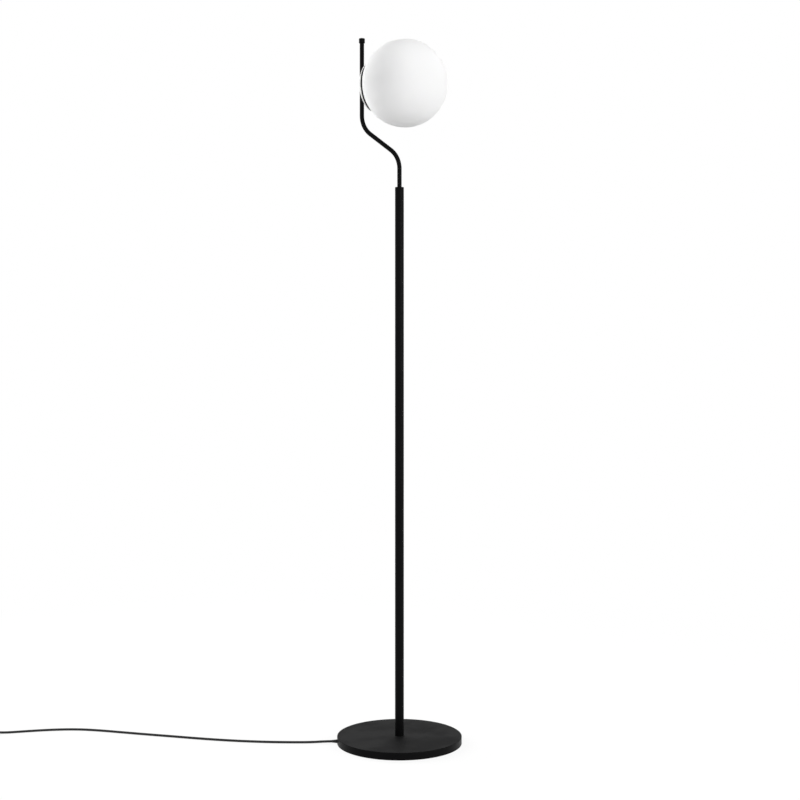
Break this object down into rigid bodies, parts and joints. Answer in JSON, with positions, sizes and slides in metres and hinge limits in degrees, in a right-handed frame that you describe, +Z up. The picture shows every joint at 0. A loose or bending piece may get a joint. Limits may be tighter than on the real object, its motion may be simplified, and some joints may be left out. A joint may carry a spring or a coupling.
{
  "type": "floor lamp",
  "caption": "Floor lamp: flat disc base, slim post, S-bent upper tube, opal glass globe pulled off its domed side holder to change the bulb; cord with foot switch and plug.",
  "frame": {"origin": "middle of the disc base at floor level", "axes": "+Z up along the post; the arm's S-bend lies in the XZ plane with its upright end on the -X side, and the globe pulls off along +X"},
  "size_m": [1.2312, 0.6327, 1.596],
  "materials": {
    "black_powder_coat": "matt fine powder coat",
    "white_enamel": "satin white paint",
    "opal_glass": "etched opal, satin, unlit",
    "black_rubber": "matt moulded",
    "black_cord": "satin sheath",
    "cast_iron": "as cast, primed",
    "zinc_steel": "zinc plated",
    "pad_foam": "closed cell foam",
    "nylon_natural": "natural moulded",
    "terminal_brass": "machined",
    "bush_plastic": "moulded, low friction",
    "flex_sheath": "satin sheath",
    "core_insulation": "smooth",
    "spring_steel": "rolled",
    "seal_silicone": "soft silicone",
    "black_phenolic": "moulded",
    "steatite": "unglazed",
    "nickel_brass": "nickel plated",
    "bulb_cap": "plain",
    "bulb_insulator": "black with a metal button",
    "bulb_housing": "white moulded",
    "bulb_dome": "opal diffuser",
    "switch_plastic": "fine spark texture",
    "button_plastic": "satin",
    "contact_block": "moulded",
    "tie_plastic": "soft strap"
  },
  "bodies": {
    "stand": {"base_cover": "black_powder_coat", "post_tube": "black_powder_coat", "cord_relief": "black_rubber", "cord_run": "black_cord", "base_weight": "cast_iron", "base_plate": "zinc_steel", "base_plate_screws": "zinc_steel", "base_pad": "pad_foam", "post_foot": "zinc_steel", "tie_nipple": "zinc_steel", "nipple_washer": "zinc_steel", "nipple_nut": "zinc_steel", "cord_clamp": "zinc_steel", "clamp_screws": "zinc_steel", "terminal_block": "nylon_natural", "terminal_screws": "terminal_brass", "base_lead": "black_cord", "base_cores": "core_insulation", "top_bush": "bush_plastic", "lower_bush": "bush_plastic", "post_flex": "flex_sheath", "switch_base": "switch_plastic", "switch_top": "switch_plastic", "switch_spring": "spring_steel", "switch_screws": "zinc_steel", "switch_contacts": "contact_block", "switch_reliefs": "black_rubber", "cord_tail": "black_cord", "cord_coil": "black_cord", "coil_tie": "tie_plastic", "cord_end": "black_cord", "plug_body": "black_rubber", "plug_pins": "nickel_brass"},
    "arm": {"arm_tube": "black_powder_coat", "end_cap": "black_powder_coat", "arm_collar": "zinc_steel", "collar_screw": "zinc_steel", "arm_flex": "flex_sheath", "head_cores": "core_insulation", "head_stud": "zinc_steel", "globe_holder": "white_enamel", "holder_spigot": "zinc_steel", "spring_clips": "spring_steel", "clip_rivets": "zinc_steel", "head_washer": "zinc_steel", "head_nut": "zinc_steel", "lampholder_cap": "black_phenolic", "lampholder_body": "black_phenolic", "lampholder_core": "steatite", "screw_shell": "nickel_brass", "centre_contact": "nickel_brass"},
    "globe": {"globe_glass": "opal_glass", "globe_collar": "black_powder_coat", "globe_seal": "seal_silicone"},
    "bulb": {"bulb_shell": "bulb_cap", "bulb_tip": "bulb_insulator", "bulb_housing": "bulb_housing", "bulb_dome": "bulb_dome"},
    "button": {"switch_button": "button_plastic"}
  },
  "joints": [
    {"name": "arm_swivel", "type": "hinge", "parent": "stand", "child": "arm", "pos_m": [0, 0, 1.249], "axis": [0, 0, 1], "range_deg": [-170, 170]},
    {"name": "globe_pull", "type": "slide", "parent": "arm", "child": "globe", "axis": [1, 0, 0], "range_m": [0, 0.125]},
    {"name": "bulb_turn", "type": "hinge", "parent": "arm", "child": "bulb", "pos_m": [0, 0, 1.4813], "axis": [1, 0, 0], "range_deg": [0, 1800]},
    {"name": "switch_press", "type": "slide", "parent": "stand", "child": "button", "axis": [0, 0, -1], "range_m": [0, 0.003], "stiffness_N_per_m": 1500, "springref_m": -0.003, "deforming": ["switch_spring"]}
  ]
}
